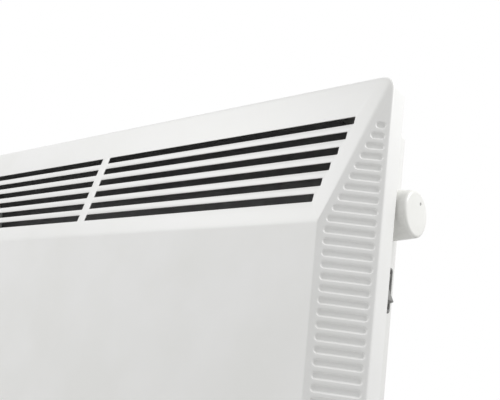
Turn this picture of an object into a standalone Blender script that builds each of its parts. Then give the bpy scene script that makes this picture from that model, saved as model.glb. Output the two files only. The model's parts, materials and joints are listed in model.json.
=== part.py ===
"""Wall panel convector heater, built as the separate pieces it comes apart into.

Units are metres.  The origin is the centre of the wall bracket's back face, on the wall.
+X is to the right of someone facing the heater, +Z is up, and the front faces -Y.
"""
import math

import bmesh
import bpy
from mathutils import Vector

# ---- driving dimensions -------------------------------------------------------------------
WIDTH = 0.595
HEIGHT = 0.400
SHEET = 0.001             # steel sheet of the panel and the casing
GAP = 0.0003              # clearance between pieces that touch
WALL_GAP = 0.016          # wall to the casing's back
CASING_DEPTH = 0.0395     # casing's back to the front panel's rear edge
RIM_DEPTH = 0.0163        # straight rim round the front panel
BEVEL_DEPTH = 0.024       # rim to front face, at the top
TOP_BEVEL = 0.113         # height of the slotted top bevel
BOTTOM_BEVEL = 0.045
CHEEK_TOP = 0.0350        # width of the side cheeks where they meet the top mitre
CHEEK_BOTTOM = 0.0293     # the cheeks narrow downwards, and the face leans back with them
CASING_INSET = 0.0180     # casing wall inside the rim, all round
RIM_RADIUS = 0.011
CASING_RADIUS = 0.008

SLOT_ROWS = 6
SLOT_FIRST = 0.0356       # first slot's centre, down the bevel from the rim
SLOT_PITCH = 0.0123
SLOT_HEIGHT = 0.0067
SLOT_END_GAP = 0.014      # slot's end to the mitre, along X
CENTRE_BAR = 0.010

KNOB_DROP = 0.0928        # knob axis below the top edge
KNOB_BASE_RADIUS = 0.0190
KNOB_END_RADIUS = 0.0171
KNOB_LENGTH = 0.0238
KNOB_DOT_ANGLE = math.radians(28)  # from straight up, towards the wall
KNOB_DOT_REACH = 0.0097            # dot to the knob's axis
SPINDLE_RADIUS = 0.003

SWITCH_DROP = 0.145       # switch centre below the top edge
SWITCH_BACK = 0.002       # switch centre behind the knob's axis
BEZEL_HEIGHT = 0.033
BEZEL_WIDTH = 0.023
BEZEL_THICK = 0.0025
ROCKER_TILT = math.radians(11)

DEFLECTOR_Y = -0.0225     # clear of the bracket's hooks
DEFLECTOR_Z = 0.126
DEFLECTOR_RADIUS = 0.046

ELEMENT_Z = -0.105
ELEMENT_HALF = 0.205
FIN_TIP = 0.020
ROD_RADIUS = 0.00425

COLLAR_RADIUS = 0.005     # threaded collar round the thermostat's spindle
THERMOSTAT_SCREW = 0.011  # screw to spindle
SCREW_SHANK = 0.0019
SCREW_HEAD = 0.0038
HOOK_X = 0.130
HOOK_Z = 0.092            # top of the hook's arm, which the casing hangs on
BUMPER_X = 0.200
BUMPER_Z = -0.150
BUMPER_STEM = 0.003
INLET_ROWS = (-0.026, -0.043)
INLET_COUNT = 9
INLET_PITCH = 0.050
GLAND_X = 0.256
GLAND_Y = -0.034
GLAND_RADIUS = 0.007

# ---- planes worked out from them ----------------------------------------------------------
X_RIM = WIDTH / 2
Z_RIM = HEIGHT / 2
X_CASE = X_RIM - CASING_INSET
Z_CASE = Z_RIM - CASING_INSET
Y_BACK = -WALL_GAP
Y_REAR = Y_BACK - CASING_DEPTH
Y_RIM = Y_REAR - RIM_DEPTH
Y_FRONT = Y_RIM - BEVEL_DEPTH
Y_FRONT_LOW = Y_RIM - BEVEL_DEPTH * CHEEK_BOTTOM / CHEEK_TOP
Y_INNER = Y_BACK - SHEET          # inner face of the casing's back
Y_KNOB = Y_BACK - CASING_DEPTH / 2
Y_SWITCH = Y_KNOB + SWITCH_BACK
Z_KNOB = Z_RIM - KNOB_DROP
Z_SWITCH = Z_RIM - SWITCH_DROP
X_WALL_IN = X_CASE - SHEET        # inner face of the casing's side wall
Y_ELEMENT = Y_INNER - 0.034
PANEL_SCREWS = tuple((sx * 0.190, sz * (Z_CASE + Z_RIM) / 2) for sz in (1, -1) for sx in (-1, 1))
ROUND = 24                        # segments of a middle-sized round


# ---- tools --------------------------------------------------------------------------------
def clear_scene():
    for item in list(bpy.data.objects):
        bpy.data.objects.remove(item, do_unlink=True)


def material(name, rgb, roughness, metallic=0.0):
    mat = bpy.data.materials.get(name) or bpy.data.materials.new(name)
    mat.use_nodes = True
    shader = mat.node_tree.nodes["Principled BSDF"]
    shader.inputs["Base Color"].default_value = (*rgb, 1.0)
    shader.inputs["Roughness"].default_value = roughness
    shader.inputs["Metallic"].default_value = metallic
    mat.diffuse_color = (*rgb, 1.0)
    return mat


def powder_white():
    return material("powder_coated_steel", (0.84, 0.84, 0.83), 0.45)


def white_plastic():
    return material("white_abs", (0.86, 0.86, 0.84), 0.35)


def dark_plastic():
    return material("dark_grey_nylon", (0.16, 0.16, 0.16), 0.4)


def zinc():
    return material("zinc_plated_steel", (0.60, 0.61, 0.62), 0.35, 1.0)


def aluminium():
    return material("extruded_aluminium", (0.72, 0.72, 0.73), 0.35, 1.0)


def brass():
    return material("brass", (0.72, 0.56, 0.28), 0.3, 1.0)


def ceramic():
    return material("steatite_ceramic", (0.80, 0.77, 0.70), 0.5)


def dark_steel():
    return material("black_heat_proof_paint", (0.05, 0.05, 0.05), 0.6)


def add_object(name, bm, mat, smooth=False):
    mesh = bpy.data.meshes.new(name)
    bm.to_mesh(mesh)
    bm.free()
    obj = bpy.data.objects.new(name, mesh)
    bpy.context.collection.objects.link(obj)
    mesh.materials.append(mat)
    if smooth:
        mesh.shade_smooth()
        mesh.set_sharp_from_angle(angle=math.radians(35))
    return obj


def loft_mesh(rings, close_ends=True):
    """Skin a row of rings of equal length, and cap its first and last ring."""
    bm = bmesh.new()
    rows = [[bm.verts.new(p) for p in ring] for ring in rings]
    for low, high in zip(rows, rows[1:]):
        for i, vert in enumerate(low):
            after = (i + 1) % len(low)
            bm.faces.new((vert, low[after], high[after], high[i]))
    if close_ends:
        bm.faces.new(rows[0])
        bm.faces.new(rows[-1])
        bmesh.ops.recalc_face_normals(bm, faces=bm.faces)
    return bm


def loft(name, rings, mat, smooth=False):
    return add_object(name, loft_mesh(rings), mat, smooth)


def place(axis, along, u, v):
    """A point at `along` on the X, Y or Z axis, with u and v on the other two axes in order."""
    return {"X": (along, u, v), "Y": (u, along, v), "Z": (u, v, along)}[axis]


def circle(axis, along, centre, radius, count=ROUND):
    turn = [2 * math.pi * (i + 0.5) / count for i in range(count)]
    return [place(axis, along, centre[0] + radius * math.cos(a), centre[1] + radius * math.sin(a))
            for a in turn]


def rectangle(axis, along, centre, half_u, half_v):
    signs = ((-1, -1), (1, -1), (1, 1), (-1, 1))
    return [place(axis, along, centre[0] + su * half_u, centre[1] + sv * half_v) for su, sv in signs]


def turned(name, axis, centre, profile, mat, count=ROUND):
    """A solid of revolution: profile is a row of (along, radius), capped at both ends."""
    rings = [circle(axis, along, centre, radius, count) for along, radius in profile]
    return loft(name, rings, mat, smooth=True)


def ring_solid(name, axis, centre, profile, mat, count=ROUND):
    """A solid of revolution with a hole through it: the profile's last ring joins its first."""
    rings = [circle(axis, along, centre, radius, count) for along, radius in profile]
    bm = loft_mesh(rings + rings[:1], close_ends=False)
    bmesh.ops.remove_doubles(bm, verts=bm.verts, dist=1e-7)
    bmesh.ops.recalc_face_normals(bm, faces=bm.faces)
    return add_object(name, bm, mat, smooth=True)


def block(name, low, high, mat):
    centre = ((low[0] + high[0]) / 2, (low[1] + high[1]) / 2)
    half = ((high[0] - low[0]) / 2, (high[1] - low[1]) / 2)
    return loft(name, [rectangle("Z", z, centre, *half) for z in (low[2], high[2])], mat)


def prism(name, axis, outline, start, end, mat, smooth=False):
    rings = [[place(axis, along, u, v) for u, v in outline] for along in (start, end)]
    return loft(name, rings, mat, smooth)


def cutter(name, ring_sets):
    """One hidden cutting object made of several separate closed solids."""
    bm = bmesh.new()
    for rings in ring_sets:
        part = loft_mesh(rings)
        mesh = bpy.data.meshes.new(name)
        part.to_mesh(mesh)
        part.free()
        bm.from_mesh(mesh)
        bpy.data.meshes.remove(mesh)
    obj = add_object(name, bm, dark_steel())
    obj.hide_render = True
    obj.display_type = "WIRE"
    return obj


def boolean(obj, tool, operation="DIFFERENCE"):
    modifier = obj.modifiers.new(operation.lower(), "BOOLEAN")
    modifier.operation = operation
    modifier.solver = "EXACT"
    modifier.object = tool


def thicken(obj, thickness):
    modifier = obj.modifiers.new("sheet", "SOLIDIFY")
    modifier.thickness = thickness
    modifier.offset = -1.0
    modifier.use_even_offset = True


def rounded_ring(y, half_x, half_z, radius, steps=3):
    """A rectangle in the XZ plane with rounded corners."""
    points = []
    for quarter, (sx, sz) in enumerate(((1, 1), (-1, 1), (-1, -1), (1, -1))):
        for i in range(steps + 1):
            a = math.pi / 2 * (quarter + i / steps)
            points.append((sx * (half_x - radius) + radius * math.cos(a), y,
                           sz * (half_z - radius) + radius * math.sin(a)))
    return points


def smooth_path(points, per_span=5):
    """Catmull-Rom points through a cable's own points."""
    knots = [Vector(p) for p in points]
    knots = [2 * knots[0] - knots[1]] + knots + [2 * knots[-1] - knots[-2]]
    path = []
    for a, b, c, d in zip(knots, knots[1:], knots[2:], knots[3:]):
        for i in range(per_span):
            t = i / per_span
            path.append(0.5 * (2 * b + (c - a) * t + (2 * a - 5 * b + 4 * c - d) * t ** 2
                               + (3 * b - a - 3 * c + d) * t ** 3))
    return path + [knots[-2]]


def wire(name, points, radius, mat):
    curve = bpy.data.curves.new(name, "CURVE")
    curve.dimensions = "3D"
    curve.bevel_depth = radius
    curve.bevel_resolution = 2
    curve.use_fill_caps = True
    spline = curve.splines.new("POLY")
    path = smooth_path(points)
    spline.points.add(len(path) - 1)
    for point, place_at in zip(spline.points, path):
        point.co = (*place_at, 1.0)
    obj = bpy.data.objects.new(name, curve)
    bpy.context.collection.objects.link(obj)
    curve.materials.append(mat)
    return obj


# ---- front panel --------------------------------------------------------------------------
def front_corner(sx, sz):
    """A corner of the flat front face."""
    if sz > 0:
        return (sx * (X_RIM - CHEEK_TOP), Y_FRONT, Z_RIM - TOP_BEVEL)
    return (sx * (X_RIM - CHEEK_BOTTOM), Y_FRONT_LOW, BOTTOM_BEVEL - Z_RIM)


def front_panel():
    """One pressed sheet: flat face, slotted top bevel, two cheeks, plain foot, straight rim."""
    bm = bmesh.new()
    rims = [[bm.verts.new(p) for p in rounded_ring(y, X_RIM, Z_RIM, RIM_RADIUS)]
            for y in (Y_REAR, Y_RIM)]
    count = len(rims[0])
    per_corner = count // 4
    face = [bm.verts.new(front_corner(sx, sz)) for sx, sz in ((1, 1), (-1, 1), (-1, -1), (1, -1))]
    for i in range(count):
        after = (i + 1) % count
        bm.faces.new((rims[0][i], rims[0][after], rims[1][after], rims[1][i]))
        corner = face[i // per_corner]
        following = face[(after // per_corner) % 4]
        if corner is following:
            bm.faces.new((rims[1][i], rims[1][after], corner))
        else:
            bm.faces.new((rims[1][i], rims[1][after], following, corner))
    front = bm.faces.new(face)
    bmesh.ops.recalc_face_normals(bm, faces=bm.faces)
    front.normal_update()
    if front.normal.y > 0:
        bmesh.ops.reverse_faces(bm, faces=bm.faces)
    obj = add_object("front_panel", bm, powder_white())
    thicken(obj, SHEET)
    boolean(obj, cutter("outlet_slot_cutter", list(slot_solids())))


def slot_solids():
    """Six rows of two slots, each row ending the same distance short of the mitre."""
    slope = math.hypot(TOP_BEVEL, BEVEL_DEPTH)
    down = Vector((0, -BEVEL_DEPTH, -TOP_BEVEL)) / slope
    out = Vector((0, -TOP_BEVEL, BEVEL_DEPTH)) / slope
    start = Vector((0, Y_RIM, Z_RIM))
    for row in range(SLOT_ROWS):
        middle = SLOT_FIRST + row * SLOT_PITCH
        ends = (middle - SLOT_HEIGHT / 2, middle + SLOT_HEIGHT / 2)
        tip = X_RIM - CHEEK_TOP * middle / slope - SLOT_END_GAP
        for side in (-1, 1):
            corners = [(side * CENTRE_BAR / 2, s) for s in ends]
            corners += [(side * tip, s) for s in reversed(ends)]
            yield [[tuple(start + down * s + out * reach + Vector((x, 0, 0))) for x, s in corners]
                   for reach in (-3 * SHEET, 3 * SHEET)]


# ---- rear casing --------------------------------------------------------------------------
def rear_casing():
    """A folded tray with an outward flange that closes the back of the front panel."""
    flange = Y_REAR - GAP / 2
    reach = SHEET + 2 * GAP
    rings = [rounded_ring(flange, X_RIM - reach, Z_RIM - reach, RIM_RADIUS - reach),
             rounded_ring(flange, X_CASE, Z_CASE, CASING_RADIUS),
             rounded_ring(Y_BACK, X_CASE, Z_CASE, CASING_RADIUS)]
    bm = loft_mesh(rings, close_ends=False)
    bm.verts.ensure_lookup_table()
    back = bm.faces.new(bm.verts[-len(rings[-1]):])
    bmesh.ops.recalc_face_normals(bm, faces=bm.faces)
    back.normal_update()
    if back.normal.y < 0:
        bmesh.ops.reverse_faces(bm, faces=bm.faces)
    obj = add_object("rear_casing", bm, powder_white())
    thicken(obj, SHEET)
    boolean(obj, cutter("casing_cutter", list(casing_holes())))


def casing_holes():
    """Spindle and switch holes, hook slots, bumper holes, screw holes, inlets and gland hole."""
    side = (X_CASE - 3 * SHEET, X_CASE + SHEET)
    back = (Y_BACK + SHEET, Y_BACK - 3 * SHEET)
    floor = (SHEET - Z_CASE + 3 * SHEET, -Z_CASE - SHEET)
    flange = (Y_REAR + SHEET, Y_REAR - 3 * SHEET)
    yield [circle("X", x, (Y_KNOB, Z_KNOB), COLLAR_RADIUS + GAP) for x in side]
    for z in (Z_KNOB - THERMOSTAT_SCREW, Z_KNOB + THERMOSTAT_SCREW):
        yield [circle("X", x, (Y_KNOB, z), SCREW_SHANK + GAP, 12) for x in side]
    yield [rectangle("X", x, (Y_SWITCH, Z_SWITCH), 0.0098, 0.0140) for x in side]
    for x in (-HOOK_X, HOOK_X):
        yield [rectangle("Y", y, (x, HOOK_Z - 0.0068), 0.012, 0.0068 + GAP) for y in back]
    for x in (-BUMPER_X, BUMPER_X):
        yield [circle("Y", y, (x, BUMPER_Z), BUMPER_STEM + GAP, 12) for y in back]
    for x, z in PANEL_SCREWS:
        yield [circle("Y", y, (x, z), SCREW_SHANK + GAP, 12) for y in flange]
    for row in INLET_ROWS:
        for i in range(INLET_COUNT):
            x = (i - (INLET_COUNT - 1) / 2) * INLET_PITCH
            yield [rectangle("Z", z, (x, row), INLET_PITCH * 0.36, 0.003) for z in floor]
    yield [circle("Z", z, (GLAND_X, GLAND_Y), GLAND_RADIUS + GAP) for z in floor]


def panel_fixings():
    """Angles spot-welded inside the rim, and the screws that hold the casing's flange to them."""
    for number, (x, z) in enumerate(PANEL_SCREWS, 1):
        up = 1 if z > 0 else -1
        near = Y_REAR - SHEET - 2 * GAP
        edge = up * (Z_RIM - SHEET - GAP)
        legs = [(near, edge), (near, edge - up * 0.012), (near - 0.0012, edge - up * 0.012),
                (near - 0.0012, edge - up * 0.0012), (near - 0.010, edge - up * 0.0012),
                (near - 0.010, edge)]
        lug = prism(f"panel_lug_{number}", "X", legs, x - 0.009, x + 0.009, zinc())
        hole = [circle("Y", y, (x, z), SCREW_SHANK + GAP / 2, 12) for y in (near + SHEET, near - 0.003)]
        boolean(lug, cutter(f"lug_cutter_{number}", [hole]))
        screw(f"panel_screw_{number}", "Y", (x, z), Y_REAR + GAP / 2, -1, 0.010)


def screw(name, axis, centre, seat, inward, length):
    """A pan-head screw whose head sits on the plane `seat`; inward is the shank's direction."""
    top = seat - inward * 0.0024
    under = seat - inward * GAP / 2
    turned(name, axis, centre, [(top, SCREW_HEAD * 0.6), (top + inward * 0.0008, SCREW_HEAD),
                                (under, SCREW_HEAD), (under, SCREW_SHANK),
                                (seat + inward * length, SCREW_SHANK)], zinc(), 12)


# ---- wall bracket -------------------------------------------------------------------------
def wall_bracket():
    """A screwed-on plate with two upturned hooks that the casing's back slots drop over."""
    thick = 0.0015
    plate = block("wall_bracket", (-0.160, -thick, -0.060), (0.160, 0.0, 0.070), zinc())
    windows = [[rectangle("Y", y, (x, 0.005), 0.045, 0.035) for y in (-0.004, 0.002)]
               for x in (-0.085, 0.085)]
    slots = [[rectangle("Y", y, (x, z), 0.006, 0.0028) for y in (-0.004, 0.002)]
             for x in (-0.148, 0.148) for z in (-0.045, 0.050)]
    arm_back = Y_INNER - 0.0010
    hook = [(-0.0003, 0.060), (-0.0003, HOOK_Z), (arm_back, HOOK_Z), (arm_back, HOOK_Z + 0.009),
            (arm_back - thick, HOOK_Z + 0.009), (arm_back - thick, HOOK_Z - thick),
            (-thick, HOOK_Z - thick), (-thick, 0.060)]
    hooks = [[[(x, y, z) for y, z in hook] for x in (middle - 0.010, middle + 0.010)]
             for middle in (-HOOK_X, HOOK_X)]
    boolean(plate, cutter("bracket_hooks", hooks), "UNION")
    boolean(plate, cutter("bracket_windows", windows + slots))


def wall_bumpers():
    """Buffers at the casing's foot that keep the heater parallel to the wall."""
    for side, x in (("left", -BUMPER_X), ("right", BUMPER_X)):
        turned(f"wall_bumper_{side}", "Y", (x, BUMPER_Z),
               [(0.0, 0.006), (-0.002, 0.008), (Y_BACK + GAP, 0.008), (Y_BACK + GAP, BUMPER_STEM),
                (Y_INNER - 0.002, BUMPER_STEM)], dark_plastic(), 16)


# ---- heating element ----------------------------------------------------------------------
def heating_element():
    """An extruded eight-fin aluminium body round a sheathed rod."""
    outline = []
    for fin in range(8):
        middle = math.pi / 4 * fin + math.pi / 8
        for radius, half in ((0.0085, 0.0013), (FIN_TIP, 0.0009)):
            outline.append((radius, middle - math.asin(half / radius)))
        for radius, half in ((FIN_TIP, 0.0009), (0.0085, 0.0013)):
            outline.append((radius, middle + math.asin(half / radius)))
    points = [(Y_ELEMENT + r * math.cos(a), ELEMENT_Z + r * math.sin(a)) for r, a in outline]
    fins = prism("element_fins", "X", points, -ELEMENT_HALF, ELEMENT_HALF, aluminium())
    bore = [circle("X", x, (Y_ELEMENT, ELEMENT_Z), ROD_RADIUS + GAP, 16)
            for x in (-ELEMENT_HALF - 0.01, ELEMENT_HALF + 0.01)]
    boolean(fins, cutter("element_bore", [bore]))
    centre = (Y_ELEMENT, ELEMENT_Z)
    rod_end = ELEMENT_HALF + 0.024
    turned("heating_rod", "X", centre, [(-rod_end, ROD_RADIUS), (rod_end, ROD_RADIUS)],
           material("rod_sheath_steel", (0.35, 0.33, 0.31), 0.45, 1.0), 16)
    for side, sign in (("left", -1), ("right", 1)):
        stub = rod_end + GAP
        turned(f"rod_terminal_{side}", "X", centre,
               [(sign * stub, 0.0035), (sign * (stub + 0.004), 0.0035),
                (sign * (stub + 0.004), 0.0015), (sign * (stub + 0.012), 0.0015)], brass(), 12)
        element_support(side, sign, centre)


def element_support(side, sign, centre):
    """A folded foot on the casing's back, and the ceramic bush that insulates the rod in it."""
    near = ELEMENT_HALF + 0.010
    foot_y = Y_INNER - GAP
    legs = [(sign * near, foot_y), (sign * near, Y_ELEMENT - 0.024),
            (sign * (near + 0.0012), Y_ELEMENT - 0.024), (sign * (near + 0.0012), foot_y - 0.0012),
            (sign * (near + 0.014), foot_y - 0.0012), (sign * (near + 0.014), foot_y)]
    support = prism(f"element_bracket_{side}", "Z", legs, ELEMENT_Z - 0.026, ELEMENT_Z + 0.026, zinc())
    hole = [circle("X", sign * x, centre, 0.0085 + GAP) for x in (near - 0.004, near + 0.004)]
    boolean(support, cutter(f"bracket_cutter_{side}", [hole]))
    inner = ROD_RADIUS + GAP
    flange = near - GAP
    ring_solid(f"element_bush_{side}", "X", centre,
               [(sign * (flange - 0.003), inner), (sign * (flange - 0.003), 0.0115),
                (sign * flange, 0.0115), (sign * flange, 0.0085), (sign * (near + 0.006), 0.0085),
                (sign * (near + 0.006), inner)], ceramic())


def air_guides():
    """The bright shield behind the element, and the dark deflector behind the outlet slots."""
    back = Y_INNER - GAP
    fold = back - 0.003
    shield = [(back, 0.060), (fold, 0.060), (fold, -0.165), (back, -0.165), (back, -0.1645),
              (fold + 0.0005, -0.1645), (fold + 0.0005, 0.0595), (back, 0.0595)]
    prism("heat_shield", "X", shield, -0.190, 0.190, aluminium())
    inner, outer = [], []
    for i in range(9):
        a = math.pi / 2 * i / 8
        for curve, radius in ((inner, DEFLECTOR_RADIUS), (outer, DEFLECTOR_RADIUS + 0.0008)):
            curve.append((DEFLECTOR_Y - DEFLECTOR_RADIUS + radius * math.cos(a),
                          DEFLECTOR_Z + radius * math.sin(a)))
    outline = [(inner[0][0], 0.082)] + inner + outer[::-1] + [(outer[0][0], 0.082)]
    prism("outlet_deflector", "X", outline, -0.254, 0.254, dark_steel(), smooth=True)


# ---- controls on the right side -----------------------------------------------------------
def thermostat():
    centre = (Y_KNOB, Z_KNOB)
    front = X_WALL_IN - GAP
    rear = front - 0.020
    body = loft("thermostat_body", [rectangle("X", rear, centre, 0.0150, 0.0165),
                                    rectangle("X", front, centre, 0.0150, 0.0165)], white_plastic())
    bore = [circle("X", x, centre, SPINDLE_RADIUS + GAP, 16) for x in (front - 0.012, front + 0.004)]
    boolean(body, cutter("thermostat_bore", [bore]))
    ring_solid("thermostat_collar", "X", centre,
               [(front + GAP, SPINDLE_RADIUS + GAP), (front + GAP, COLLAR_RADIUS),
                (X_CASE + 0.002, COLLAR_RADIUS), (X_CASE + 0.002, SPINDLE_RADIUS + GAP)], brass(), 16)
    turned("thermostat_spindle", "X", centre,
           [(front - 0.011, SPINDLE_RADIUS), (X_CASE + 0.016, SPINDLE_RADIUS)], zinc(), 16)
    for number, sign in ((1, 1), (2, -1)):
        screw(f"thermostat_screw_{number}", "X", (Y_KNOB, Z_KNOB + sign * THERMOSTAT_SCREW),
              X_CASE + GAP, -1, 0.0009)
    knob(centre)


def knob(centre):
    """A hollow moulded knob with a boss on the spindle, and a pointer dot let into its end."""
    base = X_CASE + 0.0006
    end = base + KNOB_LENGTH
    hollow = base + KNOB_LENGTH - 0.0022
    bore = SPINDLE_RADIUS + GAP
    soft = [math.pi / 2 * i / 5 for i in range(6)]
    fillet = 0.0024
    profile = [(base + 0.017, 0.0006), (base + 0.017, bore), (base + 0.0035, bore),
               (base + 0.0035, 0.0062), (hollow, 0.0062), (hollow, KNOB_END_RADIUS - 0.0018),
               (base, KNOB_BASE_RADIUS - 0.0016), (base, KNOB_BASE_RADIUS)]
    profile += [(end - fillet + fillet * math.sin(a), KNOB_END_RADIUS - fillet + fillet * math.cos(a))
                for a in soft]
    profile.append((end, 0.0005))
    obj = turned("thermostat_knob", "X", centre, profile, white_plastic(), 40)
    dot_at = (Y_KNOB + KNOB_DOT_REACH * math.sin(KNOB_DOT_ANGLE),
              Z_KNOB + KNOB_DOT_REACH * math.cos(KNOB_DOT_ANGLE))
    pocket = [circle("X", x, dot_at, 0.0010 + GAP / 2, 12) for x in (end - 0.0006, end + 0.001)]
    boolean(obj, cutter("dot_pocket", [pocket]))
    turned("knob_dot", "X", dot_at, [(end - 0.0004, 0.0010), (end - 0.0001, 0.0010)],
           dark_plastic(), 12)


def rocker_switch():
    centre = (Y_SWITCH, Z_SWITCH)
    face = X_CASE + GAP
    front = face + BEZEL_THICK
    rear = X_CASE - 0.020
    window = (BEZEL_WIDTH / 2 - 0.0027, BEZEL_HEIGHT / 2 - 0.0022)
    body = (0.0095, 0.0137)
    cavity = (0.0083, 0.0125)
    rings = [rectangle("X", x, centre, *half) for x, half in (
        (rear + 0.0012, cavity), (X_CASE - 0.004, cavity), (X_CASE - 0.0005, (0.0085, 0.0129)),
        (front - 0.0008, window), (front, window), (front, (BEZEL_WIDTH / 2, BEZEL_HEIGHT / 2)),
        (face, (BEZEL_WIDTH / 2, BEZEL_HEIGHT / 2)), (face, body), (rear, body))]
    loft("switch_housing", rings, dark_plastic())
    pivot = (X_CASE - 0.003, Z_SWITCH)
    rocker(pivot)
    turned("switch_pivot", "Y", pivot, [(Y_SWITCH - 0.0081, 0.0010), (Y_SWITCH + 0.0081, 0.0010)],
           zinc(), 12)
    for number, z in ((1, -0.009), (2, 0.0), (3, 0.009)):
        block(f"switch_terminal_{number}", (rear - GAP - 0.007, Y_SWITCH - 0.0024, Z_SWITCH + z - 0.0004),
              (rear - GAP, Y_SWITCH + 0.0024, Z_SWITCH + z + 0.0004), brass())


def rocker(pivot):
    """A hollow-faced key; at rest its upper end is pressed in and its lower end stands out."""
    hollow = [(0.0080 - 0.0022 * math.sin(math.pi * i / 8) ** 1.5, 0.0103 - 0.0206 * i / 8)
              for i in range(9)]
    outline = [(-0.0045, 0.0045), (0.0015, 0.0113)] + hollow + [(0.0015, -0.0113), (-0.0045, -0.0045)]
    cos, sin = math.cos(ROCKER_TILT), math.sin(ROCKER_TILT)
    tilted = [(x * cos - z * sin, x * sin + z * cos) for x, z in outline]
    half = 0.0079
    key = prism("switch_rocker", "Y", tilted, Y_SWITCH - half, Y_SWITCH + half, dark_plastic())
    for vert in key.data.vertices:
        vert.co.x += pivot[0]
        vert.co.z += pivot[1]
    hole = [circle("Y", y, pivot, 0.0010 + 0.00006, 12) for y in (Y_SWITCH - 0.012, Y_SWITCH + 0.012)]
    boolean(key, cutter("rocker_bore", [hole]))


# ---- wiring and protection ----------------------------------------------------------------
def overheat_cutout():
    """A disc cut-out on a folded strip beside the element."""
    x = ELEMENT_HALF + 0.040
    back = Y_INNER - GAP
    strip = [(back, -0.060), (back, -0.072), (back - 0.001, -0.072), (back - 0.001, -0.061),
             (back - 0.022, -0.061), (back - 0.022, -0.060)]
    prism("cutout_bracket", "X", strip, x - 0.008, x + 0.008, zinc())
    seat = -0.061 - GAP
    turned("overheat_cutout", "Z", (x, back - 0.013),
           [(seat, 0.0075), (seat - 0.004, 0.0075), (seat - 0.004, 0.0060), (seat - 0.009, 0.0060)],
           ceramic(), 20)


def terminal_block():
    low = (0.222, Y_INNER - GAP - 0.014, -0.166)
    obj = block("terminal_block", low, (0.250, Y_INNER - GAP, -0.150), white_plastic())
    holes = [[circle("Y", y, (low[0] + 0.0055 + 0.0085 * i, -0.158), 0.0018, 12)
              for y in (low[1] - 0.002, low[1] + 0.006)] for i in range(3)]
    boolean(obj, cutter("terminal_screw_holes", holes))
    turned("earth_stud", "Y", (0.205, -0.160),
           [(Y_INNER - GAP, 0.0045), (Y_INNER - GAP - 0.0015, 0.0045), (Y_INNER - GAP - 0.0015, 0.002),
            (Y_INNER - GAP - 0.010, 0.002)], brass(), 12)


def cable_gland():
    """The supply cord's entry: a collar under the casing's floor and its locknut inside."""
    floor = -Z_CASE
    centre = (GLAND_X, GLAND_Y)
    bore = 0.0045
    ring_solid("cable_gland", "Z", centre,
               [(floor - 0.012, bore), (floor - 0.012, 0.0075), (floor - 0.010, 0.0085),
                (floor - GAP, 0.0100), (floor - GAP, GLAND_RADIUS), (floor + 0.010, GLAND_RADIUS),
                (floor + 0.010, bore)], dark_plastic())
    nut = floor + SHEET + GAP
    across = (GLAND_RADIUS + GAP) / math.cos(math.pi / 6)
    ring_solid("gland_locknut", "Z", centre,
               [(nut, across), (nut, 0.0120), (nut + 0.004, 0.0120), (nut + 0.004, across)],
               dark_plastic(), 6)


def wiring():
    grey = material("silicone_wire_grey", (0.45, 0.45, 0.45), 0.5)
    brown = material("silicone_wire_brown", (0.25, 0.12, 0.06), 0.5)
    copper = material("copper_capillary", (0.72, 0.42, 0.30), 0.35, 1.0)
    lead = 0.0011
    tail = X_CASE - 0.020 - 0.0070 - 3 * GAP - lead
    near = Y_INNER - 0.010
    wire("wire_supply", [(0.2450, near, -0.1480), (0.262, near - 0.004, -0.110),
                         (0.264, near - 0.008, -0.020), (tail, Y_SWITCH, Z_SWITCH - 0.012),
                         (tail, Y_SWITCH, Z_SWITCH - 0.0105)], lead, brown)
    wire("wire_switch_thermostat", [(tail, Y_SWITCH + 0.001, Z_SWITCH + 0.0015),
                                    (tail - 0.004, Y_SWITCH, Z_SWITCH + 0.012),
                                    (0.252, Y_KNOB, 0.080), (0.2580 - 0.0030, Y_KNOB, 0.100)], lead, brown)
    wire("wire_thermostat_cutout", [(0.2550, Y_KNOB + 0.008, 0.098), (0.238, -0.030, 0.050),
                                    (0.236, -0.030, -0.020), (0.2440, -0.030, -0.0585)], lead, grey)
    wire("wire_neutral", [(-0.2445, Y_ELEMENT, ELEMENT_Z - 0.004), (-0.246, Y_ELEMENT, -0.140),
                          (-0.235, -0.060, -0.172), (0.0, -0.062, -0.172), (0.205, -0.060, -0.172),
                          (0.2335, -0.038, -0.171), (0.2335, near - 0.004, -0.1685)], lead, grey)
    wire("capillary_tube", [(0.2550, Y_KNOB - 0.008, 0.118), (0.225, -0.046, 0.110),
                            (0.212, -0.060, 0.000), (0.212, -0.066, -0.100),
                            (0.190, -0.066, -0.1455)], 0.0008, copper)
    turned("thermostat_bulb", "X", (-0.066, -0.146), [(0.110, 0.002), (0.112, 0.003), (0.187, 0.003),
                                                      (0.189, 0.002)], zinc(), 12)


def build():
    clear_scene()
    front_panel()
    rear_casing()
    panel_fixings()
    wall_bracket()
    wall_bumpers()
    heating_element()
    air_guides()
    thermostat()
    rocker_switch()
    overheat_cutout()
    terminal_block()
    cable_gland()
    wiring()


build()
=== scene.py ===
# %% [markdown]
# # A wall panel convector heater
#
# The heater is a pressed and powder-coated steel panel with outlet slots along its top bevel and
# pressed ribs down its cheeks. Behind it sits a folded casing with the heating element, and on its
# right side are the thermostat knob and a rocker switch. The working model is loaded first as a
# fixed frame, so each detailed piece below takes its place and size from it.

# %% Load the frame
import math

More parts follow.
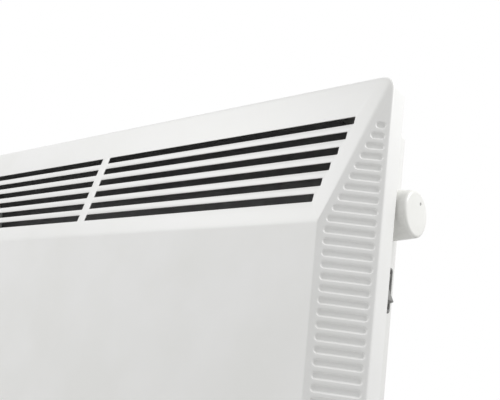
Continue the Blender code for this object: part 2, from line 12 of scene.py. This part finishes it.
import bmesh
import bpy
from mathutils import Matrix, Vector
from mathutils.geometry import delaunay_2d_cdt
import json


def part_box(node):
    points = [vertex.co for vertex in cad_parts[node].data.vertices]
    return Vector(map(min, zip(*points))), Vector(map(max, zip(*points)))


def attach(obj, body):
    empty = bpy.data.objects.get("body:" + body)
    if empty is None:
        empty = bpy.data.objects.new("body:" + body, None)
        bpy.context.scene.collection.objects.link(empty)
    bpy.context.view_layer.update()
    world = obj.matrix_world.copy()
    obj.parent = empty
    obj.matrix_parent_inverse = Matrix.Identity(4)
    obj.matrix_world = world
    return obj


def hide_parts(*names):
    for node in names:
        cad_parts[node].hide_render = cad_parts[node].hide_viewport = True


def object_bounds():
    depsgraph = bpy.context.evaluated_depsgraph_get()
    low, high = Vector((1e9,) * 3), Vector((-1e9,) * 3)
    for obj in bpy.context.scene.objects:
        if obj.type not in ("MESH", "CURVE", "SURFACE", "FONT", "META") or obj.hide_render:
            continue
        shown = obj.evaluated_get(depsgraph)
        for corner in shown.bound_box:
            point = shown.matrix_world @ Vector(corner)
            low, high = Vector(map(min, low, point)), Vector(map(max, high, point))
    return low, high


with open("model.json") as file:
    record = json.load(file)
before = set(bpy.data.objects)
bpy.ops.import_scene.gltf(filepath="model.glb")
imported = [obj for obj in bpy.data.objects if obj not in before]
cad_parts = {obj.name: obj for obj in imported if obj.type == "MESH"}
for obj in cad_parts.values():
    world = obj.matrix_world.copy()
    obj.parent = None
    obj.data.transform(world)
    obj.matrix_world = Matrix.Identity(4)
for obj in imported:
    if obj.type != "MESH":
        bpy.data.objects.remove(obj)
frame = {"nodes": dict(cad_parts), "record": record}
CAD_BOX = [list(corner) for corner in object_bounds()]
MM = 0.001
print("frame box", CAD_BOX)

# %% [markdown]
# Colours are written as sRGB hex, as a paint card gives them. Blender's shaders work in linear
# light, so one function turns the hex value into the linear colour. A second small function adds
# a node with its settings and its links, and every material below is made with it.


# %% Colour and node helpers
def linear(hex_colour):
    channels = [int(hex_colour[i:i + 2], 16) / 255 for i in (0, 2, 4)]
    return tuple(c / 12.92 if c <= 0.04045 else ((c + 0.055) / 1.055) ** 2.4 for c in channels) + (1.0,)


def add_node(tree, kind, settings=None, **links):
    """Add a node; settings are attributes or socket values, links are sockets to connect."""
    node = tree.nodes.new(kind)
    for key, value in (settings or {}).items():
        if isinstance(key, str) and hasattr(node, key):
            setattr(node, key, value)
        else:
            node.inputs[key].default_value = value
    for socket, source in links.items():
        tree.links.new(source, node.inputs[socket.replace("_", " ")])
    return node


def new_material(name, **settings):
    """A Principled material; the settings go straight onto the shader's own sockets."""
    mat = bpy.data.materials.new(name)
    mat.use_nodes = True
    shader = mat.node_tree.nodes["Principled BSDF"]
    for socket, value in settings.items():
        shader.inputs[socket.replace("_", " ")].default_value = value
    return mat, mat.node_tree, shader


def object_coordinates(tree):
    return add_node(tree, "ShaderNodeTexCoord").outputs["Object"]


def mottle(tree, shader, low, high, scale, detail=4.0, spot=(0.35, 0.65)):
    """Let the base colour wander between two near tones, as real surfaces do."""
    noise = add_node(tree, "ShaderNodeTexNoise", {"Scale": scale, "Detail": detail},
                     Vector=object_coordinates(tree))
    ramp = add_node(tree, "ShaderNodeValToRGB", Fac=noise.outputs["Fac"])
    ramp.color_ramp.elements[0].position, ramp.color_ramp.elements[1].position = spot
    ramp.color_ramp.elements[0].color = linear(low)
    ramp.color_ramp.elements[1].color = linear(high)
    tree.links.new(ramp.outputs["Color"], shader.inputs["Base Color"])
    return noise


def vary_roughness(tree, shader, noise, low, high):
    spread = add_node(tree, "ShaderNodeMapRange", {"To Min": low, "To Max": high},
                      Value=noise.outputs["Fac"])
    tree.links.new(spread.outputs["Result"], shader.inputs["Roughness"])


def bumpy(tree, shader, height, distance, strength=1.0):
    bump = add_node(tree, "ShaderNodeBump", {"Distance": distance, "Strength": strength}, Height=height)
    tree.links.new(bump.outputs["Normal"], shader.inputs["Normal"])
    return bump


# %% [markdown]
# ## Powder-coated steel
# The panel and casing are mild steel sprayed with white polyester powder and baked. The melted
# powder leaves a faint orange-peel surface, with lumps about 1.2 mm apart and a few microns high,
# and a satin gloss. The peel is made with two noise textures, a slow one for the lumps and a finer
# one for the grain of the powder. White paint isn't pure white, so its tone wanders very slightly.


# %% Powder coat
def powder_coat(name, low, high, peel=0.010 * MM):
    mat, tree, shader = new_material(name, Roughness=0.42, IOR=1.5, Coat_Weight=0.12,
                                     Coat_Roughness=0.25)
    tone = mottle(tree, shader, low, high, 14.0, 3.0)
    vary_roughness(tree, shader, tone, 0.38, 0.50)
    where = object_coordinates(tree)
    lumps = add_node(tree, "ShaderNodeTexNoise", {"Scale": 1 / (1.2 * MM), "Detail": 1.0}, Vector=where)
    grain = add_node(tree, "ShaderNodeTexNoise", {"Scale": 1 / (0.35 * MM), "Detail": 2.0}, Vector=where)
    mix = add_node(tree, "ShaderNodeMath", {"operation": "MULTIPLY_ADD", 1: 0.25},
                   Value=grain.outputs["Fac"])
    tree.links.new(lumps.outputs["Fac"], mix.inputs[2])
    bumpy(tree, shader, mix.outputs["Value"], peel)
    return mat


PANEL_WHITE = powder_coat("powder_coated_steel_white", "EFEFED", "F3F3F2")
CASING_WHITE = powder_coat("powder_coated_casing_white", "E9E9E7", "EFEFED", 0.014 * MM)
print("made", PANEL_WHITE.name, CASING_WHITE.name)

# %% [markdown]
# ## Moulded plastics
# The knob is injection-moulded white ABS with a satin face. The switch is glass-filled nylon,
# coloured dark grey right through, with the fine spark texture of its mould. Both are dielectrics
# with an IOR near 1.5, and what tells them apart is the colour and how sharp the highlight is.


# %% Moulded plastics
def moulded_plastic(name, low, high, roughness, texture_mm, depth_mm):
    mat, tree, shader = new_material(name, IOR=1.53)
    tone = mottle(tree, shader, low, high, 60.0)
    vary_roughness(tree, shader, tone, roughness - 0.04, roughness + 0.05)
    spark = add_node(tree, "ShaderNodeTexNoise", {"Scale": 1 / (texture_mm * MM), "Detail": 2.0},
                     Vector=object_coordinates(tree))
    bumpy(tree, shader, spark.outputs["Fac"], depth_mm * MM)
    return mat


KNOB_ABS = moulded_plastic("satin_white_abs", "EEEEEA", "F2F2EF", 0.34, 0.5, 0.004)
SWITCH_NYLON = moulded_plastic("dark_grey_nylon", "6E6E6C", "787876", 0.38, 0.35, 0.010)
BLACK_NYLON = moulded_plastic("black_nylon", "222222", "2B2B2A", 0.45, 0.4, 0.012)
DOT_GREY = moulded_plastic("grey_pad_ink", "A2A2A0", "ACACAA", 0.5, 0.3, 0.004)

# %% [markdown]
# ## Metals and the rest of the inside
# Bracket, screws and lugs are zinc-plated steel, whose bluish passivation is blotchy. The element
# is extruded aluminium with die lines along its length. The rod's steel sheath has browned in use,
# and terminals are turned brass. Each metal keeps the default IOR and takes its look from colour,
# roughness and the marks left by how it was made.


# %% Metals
def worked_metal(name, low, high, roughness, stretch=(1, 1, 1), mark_mm=2.0, depth_mm=0.01):
    mat, tree, shader = new_material(name, Metallic=1.0)
    tone = mottle(tree, shader, low, high, 90.0)
    vary_roughness(tree, shader, tone, roughness - 0.07, roughness + 0.10)
    scaled = add_node(tree, "ShaderNodeMapping", {"Scale": stretch}, Vector=object_coordinates(tree))
    marks = add_node(tree, "ShaderNodeTexNoise", {"Scale": 1 / (mark_mm * MM), "Detail": 3.0},
                     Vector=scaled.outputs["Vector"])
    bumpy(tree, shader, marks.outputs["Fac"], depth_mm * MM)
    return mat


ZINC_PLATE = worked_metal("zinc_plated_steel", "B4B9BE", "C6C9CB", 0.36)
EXTRUDED_ALUMINIUM = worked_metal("extruded_aluminium", "C9CACC", "D8D9DA", 0.33, (0.02, 1, 1), 0.6)
BROWNED_STEEL = worked_metal("heat_browned_steel", "5A4A3E", "7A6C62", 0.42)
TURNED_BRASS = worked_metal("turned_brass", "C09A4E", "D2B068", 0.28)
COPPER_TUBE = worked_metal("drawn_copper", "B87A56", "C98C68", 0.32)


def fired_ceramic():
    mat, tree, shader = new_material("steatite_ceramic", IOR=1.55)
    tone = mottle(tree, shader, "D8D2C4", "E4DFD3", 250.0)
    vary_roughness(tree, shader, tone, 0.5, 0.65)
    bumpy(tree, shader, tone.outputs["Fac"], 0.02 * MM)
    return mat


CERAMIC = fired_ceramic()
# Painted shade: this dark grey on the inner air deflector stands in for the shade inside the casing, so that
# the slots look dark.
PAINTED_SLOT_SHADE = moulded_plastic("painted_slot_shade_grey", "565656", "626262", 0.62, 0.8, 0.02)
WIRE_GREY = moulded_plastic("grey_silicone_rubber", "6F6F6D", "7A7A78", 0.5, 0.6, 0.01)
WIRE_BROWN = moulded_plastic("brown_silicone_rubber", "4A2C1C", "5A3826", 0.5, 0.6, 0.01)

# %% [markdown]
# The carried-over pieces take their finish by the record's material slot, so that one small table
# dresses every screw, lug, wire and terminal.

# %% Dress the frame's own pieces
FINISH_OF_SLOT = {
    "powder_white": CASING_WHITE, "white_plastic": KNOB_ABS, "dark_plastic": BLACK_NYLON,
    # The frame's black_paint pieces take the painted slot shade.
    "zinc_steel": ZINC_PLATE, "aluminium": EXTRUDED_ALUMINIUM, "black_paint": PAINTED_SLOT_SHADE,
    "rod_steel": BROWNED_STEEL, "brass": TURNED_BRASS, "ceramic": CERAMIC,
    "wire_brown": WIRE_BROWN, "wire_grey": WIRE_GREY, "copper": COPPER_TUBE}
SLOT_OF_NODE = {row["node"]: row["material_slot"] for row in frame["record"]["subparts"]}
for node, item in frame["nodes"].items():
    for holder in item.material_slots:
        holder.material = FINISH_OF_SLOT[SLOT_OF_NODE[node]]
print("dressed", len(frame["nodes"]), "pieces")

# %% [markdown]
# ## Mesh helpers
# Most of the shapes are skins over a row of rings, each ring a closed outline. The helper joins
# the rings with quads and caps the ends.


# %% Mesh helpers
def skin(bm, rings, cap_first=False, cap_last=False):
    rows = [[bm.verts.new(p) for p in ring] for ring in rings]
    for low, high in zip(rows, rows[1:]):
        for i, vert in enumerate(low):
            after = (i + 1) % len(low)
            bm.faces.new((vert, low[after], high[after], high[i]))
    if cap_first:
        bm.faces.new(rows[0])
    if cap_last:
        bm.faces.new(rows[-1])
    return rows


def finish_piece(name, bm, mat, body, node, thickness=None, sharp=40):
    mesh = bpy.data.meshes.new(name)
    bm.to_mesh(mesh)
    bm.free()
    mesh.materials.append(mat)
    mesh.shade_smooth()
    mesh.set_sharp_from_angle(angle=math.radians(sharp))
    piece = bpy.data.objects.new(name, mesh)
    bpy.context.collection.objects.link(piece)
    if thickness:
        sheet = piece.modifiers.new("sheet", "SOLIDIFY")
        sheet.thickness = thickness
        sheet.offset = -1.0
        sheet.use_even_offset = True
    weighted = piece.modifiers.new("flat_faces", "WEIGHTED_NORMAL")
    weighted.keep_sharp = True
    weighted.weight = 100
    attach(piece, body)
    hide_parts(node)
    print("made", name, len(mesh.polygons), "faces")
    return piece


def bezier(a, b, c, steps):
    """Points of a fillet that leaves a towards b and arrives at c."""
    return [a.lerp(b, i / steps).lerp(b.lerp(c, i / steps), i / steps) for i in range(steps + 1)]


# %% [markdown]
# ## Front panel: its outline
# One sheet is pressed into a shallow pyramid: a straight rim, four sloping sides and a flat face.
# The face's corners are read from the working model, whose vertices furthest to the front are the
# lower and upper ends of the face. Every ring of the skin has rounded corners, and the two long
# folds, at the rim and round the face, are small fillets as a press tool leaves them.

# %% Front panel outline
SHEET = 1.0 * MM
low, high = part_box("front_panel")
X_RIM, Z_RIM = high[0], high[2]
Y_REAR = high[1]
TOP_BEVEL, BOTTOM_BEVEL = 113 * MM, 45 * MM
CHEEK_TOP, CHEEK_BOTTOM = 35 * MM, 29.3 * MM
BEVEL_DEPTH = 24 * MM
Y_RIM = low[1] + BEVEL_DEPTH
CORNERS = ((1, 1), (-1, 1), (-1, -1), (1, -1))


def rim_corner(sx, sz, y):
    return Vector((sx * X_RIM, y, sz * Z_RIM))


def face_corner(sx, sz):
    if sz > 0:
        return Vector((sx * (X_RIM - CHEEK_TOP), Y_RIM - BEVEL_DEPTH, Z_RIM - TOP_BEVEL))
    depth = BEVEL_DEPTH * CHEEK_BOTTOM / CHEEK_TOP
    return Vector((sx * (X_RIM - CHEEK_BOTTOM), Y_RIM - depth, BOTTOM_BEVEL - Z_RIM))


def rounded_outline(corners, radius, steps=7):
    """Four corner points in CORNERS order, joined by straight sides with rounded ends."""
    outline = []
    for i, corner in enumerate(corners):
        before = (corners[i - 1] - corner).normalized() * radius
        after = (corners[(i + 1) % 4] - corner).normalized() * radius
        for k in range(steps + 1):
            a = math.pi / 2 * k / steps
            outline.append(corner + before * (1 - math.sin(a)) + after * (1 - math.cos(a)))
    return outline


# %% [markdown]
# The skin follows one path per corner, from the rim's rear edge over the first fold, down the
# slope, over the second fold and onto the face. A ring joins the four paths at each step. The
# folds are part of the slope's length, so they are a little wider along the tall top bevel.

# %% Front panel skin
RIM_FOLD = 0.03           # share of the slope that each fold takes
FACE_FOLD = 0.022
FACE_INSET = Vector((0.7 * MM, 0, 1.5 * MM))
CORNER_RADIUS = 11.0 * MM
FOLD_STEPS = 5


def corner_path(sx, sz):
    rear, rim, face = rim_corner(sx, sz, Y_REAR), rim_corner(sx, sz, Y_RIM), face_corner(sx, sz)
    lean = (face_corner(1, 1) - face_corner(1, -1)).normalized()
    inner = face + Vector((-sx * FACE_INSET.x, 0, 0)) - lean * sz * FACE_INSET.z
    first = bezier(rim.lerp(rear, 1.4 * MM / (Y_REAR - Y_RIM)), rim, rim.lerp(face, RIM_FOLD), FOLD_STEPS)
    second = bezier(rim.lerp(face, 1 - FACE_FOLD), face, inner, FOLD_STEPS)
    return [rear] + first + second


PATHS = [corner_path(sx, sz) for sx, sz in CORNERS]
SLOPE_RING = FOLD_STEPS + 1       # the ring where the flat slopes begin
RADII = [CORNER_RADIUS] * (SLOPE_RING + 1) + [1.2 * MM] * (FOLD_STEPS + 1)


def crisp_mitre(corners, ring):
    """Drop a rounded ring onto the flat slopes, so that their mitres stay crisp to the corner."""
    for i, point in enumerate(ring):
        corner = corners[i * 4 // len(ring)]
        across, down = abs(corner.x - point.x), abs(corner.z - point.z)
        bevel = TOP_BEVEL if corner.z > 0 else BOTTOM_BEVEL
        point.y -= BEVEL_DEPTH * min(across / CHEEK_TOP, down / bevel)
    return ring


def ring_at(k):
    corners = [path[k] for path in PATHS]
    ring = rounded_outline(corners, RADII[k])
    return crisp_mitre(corners, ring) if 0 < k <= SLOPE_RING else ring


RINGS = [ring_at(k) for k in range(len(RADII))]
PER_CORNER = len(RINGS[0]) // 4


def panel_skin(bm):
    """Everything but the top bevel and the two cheeks, which are returned as open quads."""
    rows = [[bm.verts.new(p) for p in ring] for ring in RINGS]
    open_quads = {}
    for k, (near, far) in enumerate(zip(rows, rows[1:])):
        for i, vert in enumerate(near):
            after = (i + 1) % len(near)
            corners = (vert, near[after], far[after], far[i])
            side = ("top", "left", "bottom", "right")[i // PER_CORNER]
            if k == SLOPE_RING and after % PER_CORNER == 0 and side != "bottom":
                open_quads[side] = corners
            else:
                bm.faces.new(corners)
    bm.faces.new(rows[-1])
    return open_quads


# %% [markdown]
# ## Outlet slots and pressed ribs
# The warm air leaves through six rows of two slots, each row a little shorter than the one above.
# Each cheek is stiffened by a ladder of shallow capsule-shaped grooves, 7.8 mm apart, that get
# shorter where the mitre narrows the cheek. Both are made the same way: their outlines are laid
# in the flat slope, the metal round them is filled in, and each groove then gets its own rings,
# which go down in a soft S to a flat floor.

# %% Slots and ribs
SLOPE = math.hypot(TOP_BEVEL, BEVEL_DEPTH)
CHEEK_SLOPE = math.hypot(CHEEK_TOP, BEVEL_DEPTH)
RIB_PITCH, RIB_FIRST = 7.834 * MM, 40.1 * MM
RIB_PROFILE = ((2.95, 0.0), (2.65, 0.10), (2.30, 0.40), (1.95, 0.74), (1.60, 0.98), (1.25, 1.06))
RIB_HALF = RIB_PROFILE[0][0] * MM
RIM_MARGIN, FOLD_MARGIN = 2.6 * MM, 3.8 * MM
INSIDE_ONLY = 1           # the triangulation keeps what lies inside the outer outline


def slot_outline(row, side):
    """One slot as (x, distance down the bevel) points, with small rounded corners."""
    middle = (35.6 + 12.3 * row) * MM
    high, low = middle - 3.35 * MM, middle + 3.35 * MM
    inner, outer = 5 * MM, X_RIM - CHEEK_TOP * middle / SLOPE - 14 * MM
    corners = [Vector((inner, high, 0)), Vector((inner, low, 0)),
               Vector((outer, low, 0)), Vector((outer, high, 0))]
    return [(side * p.x, p.y) for p in rounded_outline(corners, 0.7 * MM, 3)]


def bevel_point(x, down):
    return Vector((x, Y_RIM - BEVEL_DEPTH * down / SLOPE, Z_RIM - TOP_BEVEL * down / SLOPE))


def cheek_point(side, across, z, sunk=0.0):
    """A point of the cheek, `across` from the rim along the slope and `sunk` below its surface."""
    x = X_RIM - (across * CHEEK_TOP + sunk * BEVEL_DEPTH) / CHEEK_SLOPE
    y = Y_RIM - (across * BEVEL_DEPTH - sunk * CHEEK_TOP) / CHEEK_SLOPE
    return Vector((side * x, y, z))


def cheek_width(drop):
    """Width of the cheek along its slope, `drop` below the top edge."""
    if drop < TOP_BEVEL:
        return CHEEK_SLOPE * drop / TOP_BEVEL
    foot = 2 * Z_RIM - BOTTOM_BEVEL
    narrow = CHEEK_BOTTOM / CHEEK_TOP
    if drop < foot:
        return CHEEK_SLOPE * (1 + (narrow - 1) * (drop - TOP_BEVEL) / (foot - TOP_BEVEL))
    return CHEEK_SLOPE * narrow * (2 * Z_RIM - CORNER_RADIUS - drop) / (BOTTOM_BEVEL - CORNER_RADIUS)


def rib_spans():
    """The ribs of a cheek as (z, start, end), as far as they have room for their round ends."""
    drop = RIB_FIRST
    while drop < 2 * Z_RIM - 15 * MM:
        end = min(cheek_width(drop - RIB_HALF / 2), cheek_width(drop + RIB_HALF / 2)) - FOLD_MARGIN
        if end - RIM_MARGIN > 2.2 * RIB_HALF:
            yield Z_RIM - drop, RIM_MARGIN, end
        drop += RIB_PITCH


def capsule(side, z, start, end, half, sunk, steps=8):
    shrink = RIB_HALF - half
    points = []
    for middle, turn in ((end - shrink - half, -math.pi / 2), (start + shrink + half, math.pi / 2)):
        for k in range(steps + 1):
            a = turn + math.pi * k / steps
            points.append(cheek_point(side, middle + half * math.cos(a), z + half * math.sin(a), sunk))
    return points


def fill_round(bm, quad, loops, normal):
    """Fill a flat quad of the skin round the given closed loops of vertices."""
    level = normal.rotation_difference(Vector((0, 0, 1)))
    outlines = [list(quad)] + loops
    corners = [vert for outline in outlines for vert in outline]
    edges, first = [], 0
    for outline in outlines:
        count = len(outline)
        edges += [(first + i, first + (i + 1) % count) for i in range(count)]
        first += count
    drawn = [(level @ vert.co).xy / MM for vert in corners]
    filled = delaunay_2d_cdt(drawn, edges, [], INSIDE_ONLY, 1e-6)
    owner = [n for n, outline in enumerate(outlines) for _ in outline]
    for triangle in filled[2]:
        at = [filled[3][i][0] for i in triangle]
        inside_hole = owner[at[0]] and len({owner[i] for i in at}) == 1
        if not inside_hole:
            bm.faces.new([corners[i] for i in at])


def add_slots(bm, quad):
    loops = [[bm.verts.new(bevel_point(x, s)) for x, s in slot_outline(row, side)]
             for row in range(6) for side in (-1, 1)]
    fill_round(bm, quad, loops, Vector((0, -TOP_BEVEL, BEVEL_DEPTH)).normalized())
    return len(loops)


def add_ribs(bm, quad, side):
    ribs = []
    for z, start, end in rib_spans():
        ribs.append([[bm.verts.new(p) for p in capsule(side, z, start, end, half * MM, sunk * MM)]
                     for half, sunk in RIB_PROFILE])
    fill_round(bm, quad, [rings[0] for rings in ribs],
               Vector((side * BEVEL_DEPTH, -CHEEK_TOP, 0)).normalized())
    for rings in ribs:
        for near, far in zip(rings, rings[1:]):
            for i, vert in enumerate(near):
                after = (i + 1) % len(near)
                bm.faces.new((vert, near[after], far[after], far[i]))
        bm.faces.new(rings[-1])
    return len(ribs)


def front_panel():
    bm = bmesh.new()
    quads = panel_skin(bm)
    print("slots", add_slots(bm, quads["top"]))
    print("ribs on each cheek", add_ribs(bm, quads["right"], 1), add_ribs(bm, quads["left"], -1))
    bmesh.ops.recalc_face_normals(bm, faces=bm.faces)
    face = max(bm.faces, key=lambda f: f.calc_area())
    if face.normal.y > 0:
        bmesh.ops.reverse_faces(bm, faces=bm.faces)
    return finish_piece("front_panel_sheet", bm, PANEL_WHITE, "casing", "front_panel", SHEET)


front_panel()

# %% [markdown]
# ## Thermostat knob
# The knob is a hollow moulding with a draft of about a degree, a soft edge round its end and a
# small printed dimple as its pointer. It turns with the spindle, so it rides on that body. The
# wall is turned from a profile; the end face is filled round the dimple's rim.

# %% Thermostat knob
JOINTS = {joint["name"]: joint for joint in frame["record"]["behaviour"]["joints"]}
KNOB_AXIS = Vector(JOINTS["thermostat_turn"]["pos_m"])
KNOB_LOW, KNOB_HIGH = (Vector(corner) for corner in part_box("thermostat_knob"))
DOT_LOW, DOT_HIGH = (Vector(corner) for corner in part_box("knob_dot"))


def x_circle(x, centre, radius, count=96):
    turn = [2 * math.pi * i / count for i in range(count)]
    return [Vector((x, centre.y + radius * math.cos(a), centre.z + radius * math.sin(a))) for a in turn]


def thermostat_knob():
    base, end = KNOB_LOW.x, KNOB_HIGH.x
    base_radius, end_radius, edge = 18.95 * MM, 17.05 * MM, 2.6 * MM
    profile = [(end - 3.0 * MM, 14.8 * MM), (base + 0.6 * MM, 17.1 * MM), (base, 17.4 * MM),
               (base, base_radius - 0.3 * MM), (base + 0.3 * MM, base_radius)]
    for i in range(9):
        a = math.pi / 2 * i / 8
        profile.append((end - edge * (1 - math.sin(a)), end_radius - edge * (1 - math.cos(a))))
    bm = bmesh.new()
    rows = skin(bm, [x_circle(x, KNOB_AXIS, r) for x, r in profile], cap_first=True)
    dot = (DOT_LOW + DOT_HIGH) / 2
    dimple = skin(bm, [x_circle(end - deep * MM, dot, r * MM, 24)
                       for deep, r in ((0, 1.45), (0.12, 1.25), (0.45, 1.1))], cap_last=True)
    edges = [bm.edges.get((v, loop[(i + 1) % len(loop)])) for loop in (rows[-1], dimple[0])
             for i, v in enumerate(loop)]
    bmesh.ops.triangle_fill(bm, use_beauty=True, edges=edges, normal=Vector((1, 0, 0)))
    bmesh.ops.recalc_face_normals(bm, faces=bm.faces)
    finish_piece("knob_moulding", bm, KNOB_ABS, "thermostat", "thermostat_knob", sharp=60)


thermostat_knob()
frame["nodes"]["knob_dot"].material_slots[0].material = DOT_GREY

# %% [markdown]
# ## Rocker switch
# The switch is a snap-in rocker: a bezel on the outside of the casing and a hollow-faced key that
# tips about a pin. At rest its upper end is pressed in and its lower end stands out. The key's
# side outline is drawn level, tilted to rest, and then extruded; a bevel modifier rounds all its
# edges, as moulded nylon edges are never quite sharp.

# %% Rocker switch
ROCKER_AXIS = Vector(JOINTS["rocker_tilt"]["pos_m"])
REST_TILT = math.radians(11)
HOUSING_LOW, HOUSING_HIGH = (Vector(corner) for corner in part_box("switch_housing"))


def rounded_edges(piece, width, segments=3):
    bevel = piece.modifiers.new("soft_edges", "BEVEL")
    bevel.width = width
    bevel.segments = segments
    bevel.limit_method = "ANGLE"
    bevel.angle_limit = math.radians(30)
    bevel.harden_normals = False
    while piece.modifiers[0] != bevel:
        piece.modifiers.move(piece.modifiers.find(bevel.name), 0)
    return piece


def rocker_key():
    face = [(8.0 - 2.2 * math.sin(math.pi * i / 20) ** 1.5, 10.3 - 20.6 * i / 20) for i in range(21)]
    outline = [(-4.3, 4.4), (1.5, 11.2)] + face + [(1.5, -11.2), (-4.3, -4.4)]
    cos, sin = math.cos(REST_TILT), math.sin(REST_TILT)
    bm = bmesh.new()
    rings = [[Vector((ROCKER_AXIS.x + (x * cos - z * sin) * MM, ROCKER_AXIS.y + y * MM,
                      ROCKER_AXIS.z + (x * sin + z * cos) * MM)) for x, z in outline]
             for y in (-7.85, 7.85)]
    skin(bm, rings, cap_first=True, cap_last=True)
    bmesh.ops.recalc_face_normals(bm, faces=bm.faces)
    piece = finish_piece("rocker_key", bm, SWITCH_NYLON, "rocker", "switch_rocker", sharp=60)
    rounded_edges(piece, 0.45 * MM)


def frame_ring(x, half_y, half_z, radius=1.0):
    centre = Vector((x, ROCKER_AXIS.y, ROCKER_AXIS.z))
    corners = [centre + Vector((0, sy * half_y * MM, sz * half_z * MM)) for sy, sz in CORNERS]
    return rounded_outline(corners, radius * MM, 4)


def switch_bezel():
    front, back = HOUSING_HIGH.x, HOUSING_LOW.x
    wall = HOUSING_HIGH.x - 2.5 * MM
    rings = [frame_ring(back + 1.2 * MM, 8.3, 12.5), frame_ring(wall, 8.5, 12.9),
             frame_ring(front - 1.0 * MM, 8.8, 14.2), frame_ring(front - 0.3 * MM, 8.9, 14.3),
             frame_ring(front, 9.2, 14.6), frame_ring(front, 10.4, 15.4, 2.0),
             frame_ring(front - 0.35 * MM, 11.1, 16.1, 2.2), frame_ring(front - 1.0 * MM, 11.45, 16.45, 2.4),
             frame_ring(wall, 11.5, 16.5, 2.4), frame_ring(wall, 9.5, 13.7), frame_ring(back, 9.5, 13.7)]
    bm = bmesh.new()
    skin(bm, rings, cap_first=True, cap_last=True)
    bmesh.ops.recalc_face_normals(bm, faces=bm.faces)
    finish_piece("switch_bezel", bm, SWITCH_NYLON, "casing", "switch_housing", sharp=60)


rocker_key()
switch_bezel()

# %% [markdown]
# ## Floor, light and camera
# The floor is a plain pale sheet below the heater. The world is a soft grey fill that the camera
# and reflections see as white. One large lamp in front, above and to the left, shapes the face
# and the bevel; a second, behind and to the right, makes the rim and the knob's end bright.

# %% Floor and world
def pale_floor():
    mat, tree, shader = new_material("pale_floor", Roughness=0.7)
    grain = mottle(tree, shader, "EDEDEC", "F1F1F0", 3.0)
    vary_roughness(tree, shader, grain, 0.65, 0.75)
    bm = bmesh.new()
    size, height = 3.0, CAD_BOX[0][2] - 0.30
    bm.faces.new([bm.verts.new((x * size, y * size, height)) for x, y in ((-1, -1), (1, -1), (1, 1), (-1, 1))])
    mesh = bpy.data.meshes.new("floor")
    bm.to_mesh(mesh)
    bm.free()
    mesh.materials.append(mat)
    floor = bpy.data.objects.new("floor", mesh)
    bpy.context.collection.objects.link(floor)


def soft_world(fill):
    world = bpy.data.worlds.new("soft_world")
    bpy.context.scene.world = world
    world.use_nodes = True
    tree = world.node_tree
    output = tree.nodes["World Output"]
    dim = tree.nodes["Background"]
    dim.inputs["Color"].default_value = (1, 1, 1, 1)
    dim.inputs["Strength"].default_value = fill
    white = add_node(tree, "ShaderNodeBackground", {"Color": (1, 1, 1, 1), "Strength": 1.0})
    path = add_node(tree, "ShaderNodeLightPath")
    seen = add_node(tree, "ShaderNodeMath", {"operation": "MAXIMUM"}, Value=path.outputs["Is Camera Ray"])
    tree.links.new(path.outputs["Is Transmission Ray"], seen.inputs[1])
    shown = add_node(tree, "ShaderNodeMath", {"operation": "MAXIMUM"}, Value=seen.outputs["Value"])
    tree.links.new(path.outputs["Is Glossy Ray"], shown.inputs[1])
    mix = add_node(tree, "ShaderNodeMixShader", Fac=shown.outputs["Value"])
    tree.links.new(dim.outputs["Background"], mix.inputs[1])
    tree.links.new(white.outputs["Background"], mix.inputs[2])
    tree.links.new(mix.outputs["Shader"], output.inputs["Surface"])


def soft_lamp(name, direction, distance, size, power):
    """An area lamp at `distance` from the heater, shining back at its middle."""
    data = bpy.data.lights.new(name, "AREA")
    data.shape = "DISK"
    data.size = size
    data.energy = power
    lamp = bpy.data.objects.new(name, data)
    bpy.context.collection.objects.link(lamp)
    aim = Vector(direction).normalized()
    lamp.location = aim * distance
    lamp.rotation_euler = aim.to_track_quat("Z", "Y").to_euler()


pale_floor()
soft_world(0.45)
soft_lamp("front_lamp", (-0.50, -0.62, 0.58), 2.5, 1.3, 24.5)
soft_lamp("rear_right_lamp", (0.50, 0.10, 0.42), 1.1, 0.5, 5.4)
bpy.context.scene.view_settings.view_transform = "Standard"

# %% [markdown]
# The camera stands to the right of the heater and a little below its top, close enough that the
# lines converge, and it is rolled a few degrees, so that the uprights lean.

# %% Camera
FOCAL_SHARE = 691.5 / 500    # focal length as a share of the frame's width


def camera_at(place, turned, raised, rolled):
    data = bpy.data.cameras.new("camera")
    data.sensor_width = 36.0
    data.lens = FOCAL_SHARE * data.sensor_width
    camera = bpy.data.objects.new("camera", data)
    bpy.context.collection.objects.link(camera)
    forward = Vector((-math.sin(turned) * math.cos(raised), math.cos(turned) * math.cos(raised),
                      math.sin(raised)))
    level = Vector((math.cos(turned), math.sin(turned), 0))
    upright = level.cross(forward)
    right = level * math.cos(rolled) + upright * math.sin(rolled)
    up = upright * math.cos(rolled) - level * math.sin(rolled)
    axes = Matrix((right, up, -forward)).transposed().to_4x4()
    camera.matrix_world = Matrix.Translation(place) @ axes
    bpy.context.scene.camera = camera


camera_at(Vector((X_RIM, Y_RIM, Z_RIM)) + Vector((0.2199, -0.3901, -0.2349)),
          math.radians(40.813), math.radians(16.235), math.radians(8.314))

# %% [markdown]

# %% Last import
import json
